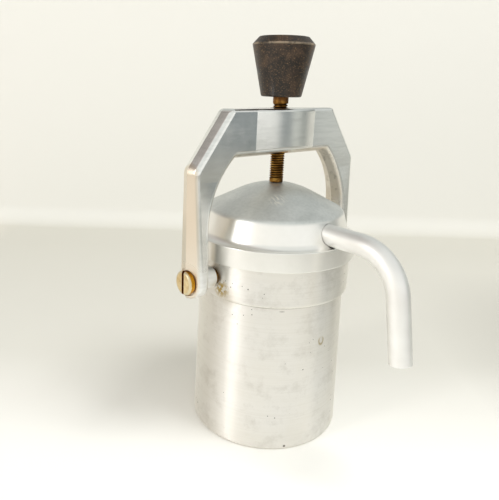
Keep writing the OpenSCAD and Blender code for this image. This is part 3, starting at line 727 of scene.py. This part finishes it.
def makeBush():
    low, high, lipTop = bushLow.z, bushHigh.z, bushLow.z + bush["lipH"]
    corners = [
        (bush["bore"], low), (bush["lipR"], low, bush["lipEdge"]), (bush["lipR"], lipTop, bush["lipBack"]),
        (bush["r"], lipTop, bush["nook"]), (bush["r"], high, bush["edge"]), (bush["bore"], high),
        (bush["bore"], low),
    ]
    piece = turnPiece("bush_sleeve", corners, bush["steps"])
    smoothOff(piece)
    handOver(piece, "yoke_bush", "yoke", brass)


makeBush()

# Spindle: helical thread, plain collar and the stud inside the knob
spindle = {
    "threadR": 3.0, "grooveR": 2.5, "pitch": 1.0, "flanks": (0.14, 0.44, 0.70), "spareTurns": 2,
    "collarR": 3.2, "collarLow": 143.3, "collarTop": 145.98, "collarEdge": 0.25, "topEdge": 0.1,
    "sink": 0.5, "studR": 2.5, "studEdge": 0.3, "stemHole": 1.25, "stemDeep": 5.05, "cut": 2.0,
    "shadeAngle": 28, "steps": 48, "collarSteps": 64,
}
spindleLow, spindleHigh = boxOf("clamp_spindle")


def makeSpindle():
    pitch, groove, crest = spindle["pitch"], spindle["grooveR"], spindle["threadR"]
    bottom, top = spindleLow.z, spindle["collarLow"] + spindle["sink"]
    start = bottom - spindle["spareTurns"] * pitch
    turns = math.ceil((top - start) / pitch) + spindle["spareTurns"]
    grooveEnd, crestStart, crestEnd = spindle["flanks"]  # heights in pitches
    ridge = [(groove, 0), (groove, grooveEnd), (crest, crestStart), (crest, crestEnd), (groove, 1)]
    piece = drawOutline("spindle_screw", [(r, 0, start + share * pitch) for r, share in ridge])
    bpy.ops.object.mode_set(mode="OBJECT")
    steps = spindle["steps"]
    applyModifier(piece, "SCREW", axis="Z", screw_offset=pitch * mm, iterations=turns, steps=steps,
                  render_steps=steps, use_merge_vertices=True, merge_threshold=weld)
    bpy.ops.object.mode_set(mode="EDIT")
    for height, way in ((bottom, 1), (top, -1)):
        bpy.ops.mesh.select_all(action="SELECT")
        bpy.ops.mesh.bisect(plane_co=(0, 0, height * mm), plane_no=(0, 0, way), use_fill=True,
                            clear_inner=True)
    closeUp()
    collar = turnPiece("collar", [
        (0, spindle["collarLow"]), (spindle["collarR"], spindle["collarLow"], spindle["collarEdge"]),
        (spindle["collarR"], spindle["collarTop"], spindle["topEdge"]),
        (spindle["studR"], spindle["collarTop"]), (spindle["studR"], spindleHigh.z, spindle["studEdge"]),
        (0, spindleHigh.z),
    ], spindle["collarSteps"])
    carve(piece, collar, "UNION")
    drill(piece, spindle["stemHole"], bottom - spindle["cut"], bottom + spindle["stemDeep"], steps)
    smoothOff(piece, spindle["shadeAngle"])
    handOver(piece, "clamp_spindle", "spindle", brass)


makeSpindle()

# Foot: plain brass pad that turns on the spindle's end
foot = {"r": 2.9, "h": 1.55, "stemR": 1.2, "padEdge": 0.25, "edge": 0.15, "nook": 0.05, "steps": 64}
footLow, footHigh = boxOf("spindle_foot")


def makeFoot():
    low, high, padTop = footLow.z, footHigh.z, footLow.z + foot["h"]
    corners = [
        (0, low), (foot["r"], low, foot["padEdge"]), (foot["r"], padTop, foot["edge"]),
        (foot["stemR"], padTop, foot["nook"]), (foot["stemR"], high, foot["edge"]), (0, high),
    ]
    piece = turnPiece("foot_pad", corners, foot["steps"])
    smoothOff(piece)
    handOver(piece, "spindle_foot", "foot", brass)


makeFoot()

# Knob: tapered grip, wide at the top, with a bevelled crown
knob = {
    "bottomR": 8.3, "rimUp": 20.4, "topR": 10.0, "edge": 0.5, "bottomEdge": 0.8, "holeR": 4.22,
    "holeUp": 13.02, "rubbedAndHighlight": 0.4, "steps": 160,
}
knobLow, knobHigh = boxOf("knob")
phenolic = mouldedPhenolic()


def makeKnob():
    bottom, rim, holeR = knobLow.z, knobLow.z + knob["rimUp"], knob["holeR"]
    corners = [
        (holeR, bottom), (knob["bottomR"], bottom, knob["bottomEdge"]), (knobHigh.x, rim, knob["edge"]),
        (knob["topR"], knobHigh.z, knob["edge"]), (0, knobHigh.z), (0, bottom + knob["holeUp"]),
        (holeR, bottom + knob["holeUp"]), (holeR, bottom),
    ]
    piece = turnPiece("knob_grip", corners, knob["steps"])
    smoothOff(piece)
    handOver(piece, "knob", "spindle", phenolic)


makeKnob()

# Pivot screws and washers
screw = {
    "threadR": 2.0, "threadEnd": 30.3, "tipEdge": 0.3, "seat": 33.52, "seatEdge": 0.1, "shoulderR": 2.5,
    "headIn": 46.1, "headR": 5.2, "headNeck": 4.7, "neckEdge": 0.15, "headEdge": 0.9, "slotWide": 1.3,
    "slotDeep": 1.0, "steps": 96,
}
washer = {"r": 3.5, "bore": 2.52, "edge": 0.2, "steps": 72}
screwHigh = boxOf("pivot_screw_right")[1]
washerLow, washerHigh = boxOf("pivot_washer_right")
screwBrass = wornBrass()


def makeScrew(name, nodeName, side):
    headOut = screwHigh.x
    corners = [
        (0, screw["threadEnd"]), (screw["threadR"], screw["threadEnd"], screw["tipEdge"]),
        (screw["threadR"], screw["seat"]), (screw["shoulderR"], screw["seat"], screw["seatEdge"]),
        (screw["shoulderR"], screw["headIn"]), (screw["headNeck"], screw["headIn"], screw["neckEdge"]),
        (screw["headR"], headOut, screw["headEdge"]), (0, headOut),
    ]
    piece = turnPiece(name, corners, screw["steps"], "X", side)
    bpy.ops.object.select_all(action="DESELECT")
    bpy.ops.mesh.primitive_cube_add(size=mm, location=(side * headOut * mm, 0, pivotZ * mm),
                                    scale=(2 * screw["slotDeep"], screw["slotWide"], 3 * screw["headR"]))
    carve(piece, bpy.context.object)
    smoothOff(piece)
    handOver(piece, nodeName, "pot", screwBrass)


def makeWasher(name, nodeName, side):
    corners = [
        (washer["bore"], washerLow.x), (washer["r"], washerLow.x, washer["edge"]),
        (washer["r"], washerHigh.x, washer["edge"]), (washer["bore"], washerHigh.x),
        (washer["bore"], washerLow.x),
    ]
    piece = turnPiece(name, corners, washer["steps"], "X", side)
    smoothOff(piece)
    handOver(piece, nodeName, "pot", screwBrass)


for sideName, side in (("left", -1), ("right", 1)):
    makeScrew("screw_" + sideName, "pivot_screw_" + sideName, side)
    makeWasher("washer_" + sideName, "pivot_washer_" + sideName, side)

# Inner pieces keep their CAD shape and take a finish
innerFinish = {
    "filter_basket": lidMetal, "lower_sieve": lidMetal, "riser_tube": tubeMetal, "upper_sieve": lidMetal,
    "lid_gasket": rubber, "knob_insert": brass,
}
for nodeName, material in innerFinish.items():
    inner = frame["nodes"][nodeName]
    inner.data.materials.clear()
    inner.data.materials.append(material)
print("inner pieces finished")

# Camera: at the photograph's place; the heading is from +Y towards +X
camera = {
    "place": (-161.8, -157.8, 151.5), "heading": 39.3, "dip": 16.04, "roll": 1.6,
    "lens": 37.81, "sensor": 36.0, "shift": (0.0667, -0.0358), "clip": 5.0,
}


def makeCamera():
    data = bpy.data.cameras.new("camera")
    eye = bpy.data.objects.new("camera", data)
    scene.collection.objects.link(eye)
    heading, dip = math.radians(camera["heading"]), math.radians(camera["dip"])
    aim = Vector((math.sin(heading) * math.cos(dip), math.cos(heading) * math.cos(dip), -math.sin(dip)))
    eye.rotation_mode = "QUATERNION"
    eye.rotation_quaternion = (
        aim.to_track_quat("-Z", "Y") @ Quaternion((0, 0, 1), math.radians(camera["roll"])))
    eye.location = Vector(camera["place"]) * mm
    data.lens = camera["lens"]
    data.sensor_width = camera["sensor"]
    data.shift_x, data.shift_y = camera["shift"]
    data.clip_start = camera["clip"] * mm
    scene.camera = eye


makeCamera()

# Floor and wall in one pale sweep, with painted light and shade on the floor, and soft studio light
stage = {  # distances ahead and to the right as the camera looks
    "half": 900, "wallAway": 318, "wallTall": 245, "bendR": 20, "bendSteps": 10,
    # painted light: the floor is brighter in front of the object and darker from it towards the wall and
    # behind the camera
    "floor": (
        (-330, "d6d4cc"), (-170, "fcfbf7"), (-40, "fcfbf7"), (0, "edebe5"), (45, "dfddd5"), (250, "d5d3ca"),
    ),
    # painted shade: a darker grey area on the floor to the right, fading out towards the camera; painted
    # warm light: a warmer area on the floor far to the left
    "right": "a3a199", "rightShadeFade": (110, 270), "rightShadeNearFade": (200, 60), "left": "f0e8de",
    "leftWarmLightFade": (-230, -330), "wall": "e8e7e2", "wallFade": (5, 20),
}
lights = {  # azimuth 0 is in front of the spout and grows towards +X
    "strip": {
        "azimuth": -97, "height": 24, "away": 800, "wide": 110, "tall": 500, "watts": 1.1, "shine": True,
    },
    "key": {
        "azimuth": 24, "height": 64, "away": 1000, "wide": 320, "tall": 320, "watts": 4.5, "shine": False,
    },
}
lampAim = 80  # height that both lamps point at
studio = {  # the room round the table: azimuth and colour near the horizon, and of the ceiling above
    "ring": (
        (-90, "fffaf0"), (-60, "fffdf6"), (8, "fefefa"), (31, "f6f6f1"), (36, "727c80"), (46, "7a8386"),
        (50, "dcddd6"), (55, "d8dad2"), (63, "7d8381"), (80, "6f746f"), (95, "989b97"), (110, "a4a7a3"),
        (128, "b0b1ac"), (150, "b4b5b0"), (168, "a3a49f"), (185, "b0aea6"), (200, "cfcbc1"),
        (225, "c8bfae"), (245, "f5efe3"), (270, "fffaf0"),
    ),
    "ceiling": (
        (-90, "dad5cf"), (-70, "e6e8e4"), (20, "e2e4e0"), (60, "e4e6e3"), (95, "c2c5c2"), (125, "bec1be"),
        (140, "c4c7c3"), (165, "c2c4bf"), (180, "bab8b1"), (205, "c2bbb6"), (217, "8e8a85"),
        (238, "8a857f"), (254, "c8c0ba"), (270, "dad5cf"),
    ),
    "ringTop": 14, "ceilingLow": 34, "strength": 1.08,
}


def makeStage():
    material, tree, place = newMaterial("pale_floor")
    heading = math.radians(camera["heading"])
    ahead = Vector((math.sin(heading), math.cos(heading), 0))
    across = Vector((math.cos(heading), -math.sin(heading), 0))
    aside = addNode(tree, "VectorMath", {"operation": "DOT_PRODUCT", 1: across}, {0: place})
    away = addNode(tree, "VectorMath", {"operation": "DOT_PRODUCT", 1: ahead}, {0: place})
    half, wallStart = stage["half"], stage["wallAway"] - stage["bendR"]
    # painted light: the floor's ramp, brighter in front of the object
    share = addNode(tree, "MapRange", fromTo((-half, half)), {"Value": away})
    stops = [((along / half + 1) / 2, code) for along, code in stage["floor"]]
    colour = addNode(tree, "ValToRGB", {"stops": stops}, {"Fac": share})
    # painted shade on the floor to the right, fading out near the camera, and painted warm light far to the
    # left
    rightShadeSide = addNode(tree, "MapRange", fromTo(stage["rightShadeFade"]), {"Value": aside})
    rightShadeNear = addNode(tree, "MapRange", fromTo(stage["rightShadeNearFade"]), {"Value": away})
    right = addNode(tree, "Math", {"operation": "MULTIPLY"}, {0: rightShadeSide, 1: rightShadeNear})
    left = addNode(tree, "MapRange", fromTo(stage["leftWarmLightFade"]), {"Value": aside})
    wall = addNode(tree, "MapRange", fromTo(stage["wallFade"], wallStart), {"Value": away})
    for area, code in ((right, stage["right"]), (left, stage["left"]), (wall, stage["wall"])):
        colour = addNode(tree, "Mix", {"data_type": "RGBA", 7: code}, {0: area, 6: colour})
    finishMaterial(tree, {"Roughness": 0.7}, {"Base Color": colour})
    bend = [(wallStart + x, stage["bendR"] + z)
            for x, z in arcPoints((0, 0), stage["bendR"], -90, 0, stage["bendSteps"])]
    path = [(-half, 0)] + bend + [(stage["wallAway"], stage["wallTall"])]
    line = [ahead * along + Vector((0, 0, up)) - across * half for along, up in path]
    sweep = drawOutline("floor_sweep", line)
    bpy.ops.mesh.select_all(action="SELECT")
    bpy.ops.mesh.extrude_edges_move(TRANSFORM_OT_translate={"value": across * (2 * half * mm)})
    bpy.ops.object.mode_set(mode="OBJECT")
    useOnly(sweep)
    bpy.ops.object.shade_smooth()
    sweep.data.materials.append(material)


def makeLights():
    for name, light in lights.items():
        data = bpy.data.lights.new(name, "AREA")
        data.shape = "RECTANGLE"
        data.size = light["wide"] * mm
        data.size_y = light["tall"] * mm
        data.energy = light["watts"]
        lamp = bpy.data.objects.new(name, data)
        lamp.visible_glossy = light["shine"]
        scene.collection.objects.link(lamp)
        azimuth, height = math.radians(light["azimuth"]), math.radians(light["height"])
        level = math.cos(height)
        way = Vector((math.sin(azimuth) * level, -math.cos(azimuth) * level, math.sin(height)))
        lamp.location = way * (light["away"] * mm) + Vector((0, 0, lampAim * mm))
        lamp.rotation_mode = "QUATERNION"
        lamp.rotation_quaternion = (-way).to_track_quat("-Z", "Y")
    world = bpy.data.worlds.new("studio")
    scene.world = world
    world.use_nodes = True
    tree = world.node_tree
    tree.nodes.clear()
    look = addNode(tree, "TexCoord").outputs["Generated"]
    around = addNode(tree, "TexGradient", {"gradient_type": "RADIAL"}, {"Vector": look})
    tones = []
    for row in (studio["ring"], studio["ceiling"]):
        stops = [(azimuth / 360 + 0.25, code) for azimuth, code in row]  # from -90 to 270 degrees
        tones.append(addNode(tree, "ValToRGB", {"stops": stops}, {"Fac": around.outputs["Fac"]}))
    height = addNode(tree, "SeparateXYZ", links={0: look}).outputs["Z"]
    start, end = [math.sin(math.radians(studio[key])) for key in ("ringTop", "ceilingLow")]
    upper = addNode(tree, "MapRange", {"From Min": start, "From Max": end}, {"Value": height})
    colour = addNode(tree, "Mix", {"data_type": "RGBA"}, {0: upper, 6: tones[0], 7: tones[1]})
    background = addNode(tree, "Background", {"Strength": studio["strength"]}, {"Color": colour})
    addNode(tree, "OutputWorld", links={"Surface": background})


makeStage()
makeLights()
print("camera, floor and light set")
